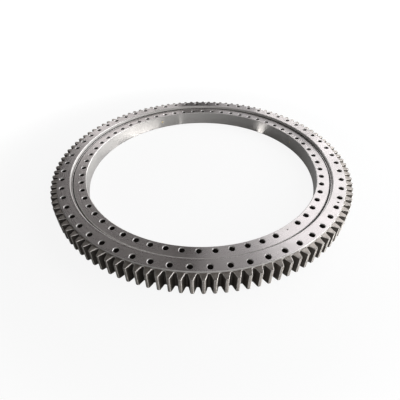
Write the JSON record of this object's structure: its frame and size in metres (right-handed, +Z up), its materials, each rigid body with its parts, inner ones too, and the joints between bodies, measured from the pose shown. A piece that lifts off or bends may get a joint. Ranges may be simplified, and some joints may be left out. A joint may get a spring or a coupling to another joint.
{
  "type": "slewing ring bearing",
  "caption": "Slewing ring bearing: an outer ring with external spur teeth turns on caged balls round an inner ring, with bolt holes through both rings and an open bore.",
  "frame": {"origin": "centre of the inner ring's bottom face, on the axis of rotation", "axes": "+Z up along the axis of rotation, towards the outer ring's top face; -Y is the side that faces the camera in the picture, at the middle of a tooth gap and of an inner bolt hole"},
  "size_m": [1.38, 1.3799, 0.086],
  "materials": {
    "gear_ring_steel": "turned and hobbed bare steel, lightly oiled",
    "inner_ring_steel": "turned bare steel, lightly oiled",
    "seal_rubber": "matte black nitrile",
    "plug_steel": "turned bare steel",
    "pin_steel": "dark hardened steel",
    "nipple_steel": "yellow zinc plate",
    "cage_plastic": "moulded nylon",
    "ball_steel": "ground and polished bearing steel"
  },
  "bodies": {
    "fixed_ring": {"inner_ring": "inner_ring_steel", "lower_seal": "seal_rubber", "loading_plug": "plug_steel", "plug_taper_pin": "pin_steel", "grease_nipple_1": "nipple_steel", "grease_nipple_2": "nipple_steel", "grease_nipple_3": "nipple_steel", "grease_nipple_4": "nipple_steel"},
    "turning_ring": {"outer_gear_ring": "gear_ring_steel", "upper_seal": "seal_rubber"},
    "ball_set": {"cage_segment_01": "cage_plastic", "cage_segment_02": "cage_plastic", "cage_segment_03": "cage_plastic", "cage_segment_04": "cage_plastic", "cage_segment_05": "cage_plastic", "cage_segment_06": "cage_plastic", "cage_segment_07": "cage_plastic", "cage_segment_08": "cage_plastic", "cage_segment_09": "cage_plastic", "cage_segment_10": "cage_plastic", "cage_segment_11": "cage_plastic", "cage_segment_12": "cage_plastic", "cage_segment_13": "cage_plastic", "cage_segment_14": "cage_plastic", "cage_segment_15": "cage_plastic", "cage_segment_16": "cage_plastic", "balls_01": "ball_steel", "balls_02": "ball_steel", "balls_03": "ball_steel", "balls_04": "ball_steel", "balls_05": "ball_steel", "balls_06": "ball_steel", "balls_07": "ball_steel", "balls_08": "ball_steel", "balls_09": "ball_steel", "balls_10": "ball_steel", "balls_11": "ball_steel", "balls_12": "ball_steel", "balls_13": "ball_steel", "balls_14": "ball_steel", "balls_15": "ball_steel", "balls_16": "ball_steel"}
  },
  "joints": [
    {"name": "slew", "type": "hinge", "parent": "fixed_ring", "child": "turning_ring", "pos_m": [0, 0, 0.0365], "axis": [0, 0, 1], "continuous": true},
    {"name": "ball_orbit", "type": "hinge", "parent": "fixed_ring", "child": "ball_set", "pos_m": [0, 0, 0.0365], "axis": [0, 0, 1], "continuous": true}
  ],
  "couplings": [
    {"joint": "ball_orbit", "follows": "slew", "ratio": 0.5095}
  ]
}
